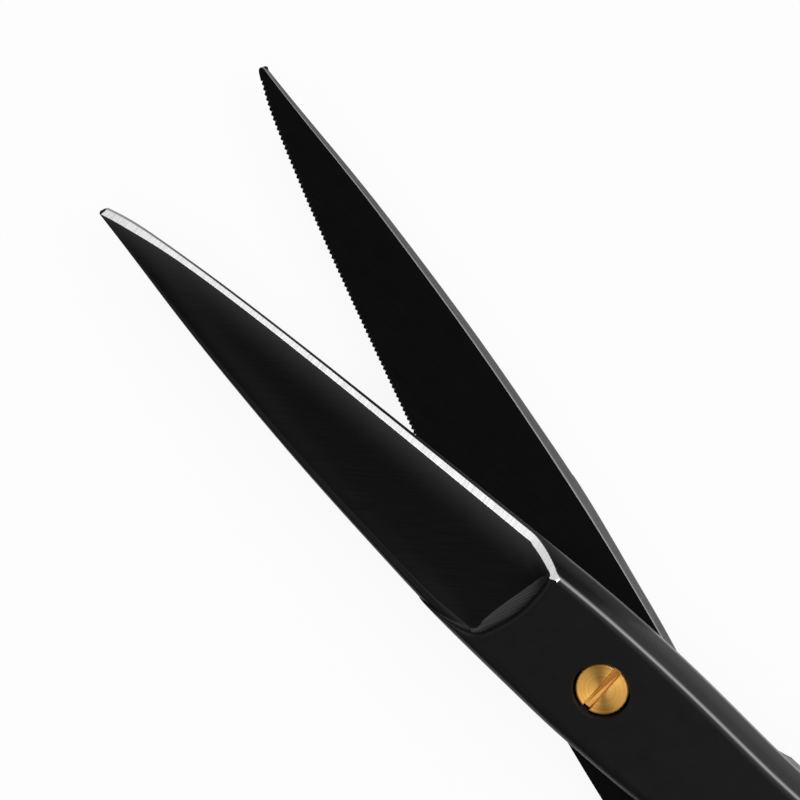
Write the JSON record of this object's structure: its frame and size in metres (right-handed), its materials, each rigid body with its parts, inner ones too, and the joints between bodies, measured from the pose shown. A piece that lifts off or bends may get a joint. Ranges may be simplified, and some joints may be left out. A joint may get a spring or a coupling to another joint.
{
  "type": "iris scissors",
  "caption": "Small ring-handled surgical scissors with straight pointed blades, a plain ground edge over a finely serrated one, joined by a slotted pivot screw.",
  "frame": {"origin": "on the pivot axis, at the underside of the joint, which lies on the table", "axes": "+X from the pivot along the middle between the blades, towards the tips; +Z along the pivot axis, up out of the screw head; +Y towards the upper half's blade"},
  "size_m": [0.1116, 0.0688, 0.0044],
  "materials": {
    "upper_steel": "satin black coating with a bare ground cutting bevel",
    "lower_steel": "satin black coating",
    "screw_gold": "turned, gold plated"
  },
  "bodies": {
    "lower": {"lower_half": "lower_steel", "pivot_screw": "screw_gold"},
    "upper": {"upper_half": "upper_steel"}
  },
  "joints": [
    {"name": "blade_pivot", "type": "hinge", "parent": "lower", "child": "upper", "pos_m": [0, 0, 0], "axis": [0, 0, 1], "range_deg": [-18.42, 56.58]}
  ]
}
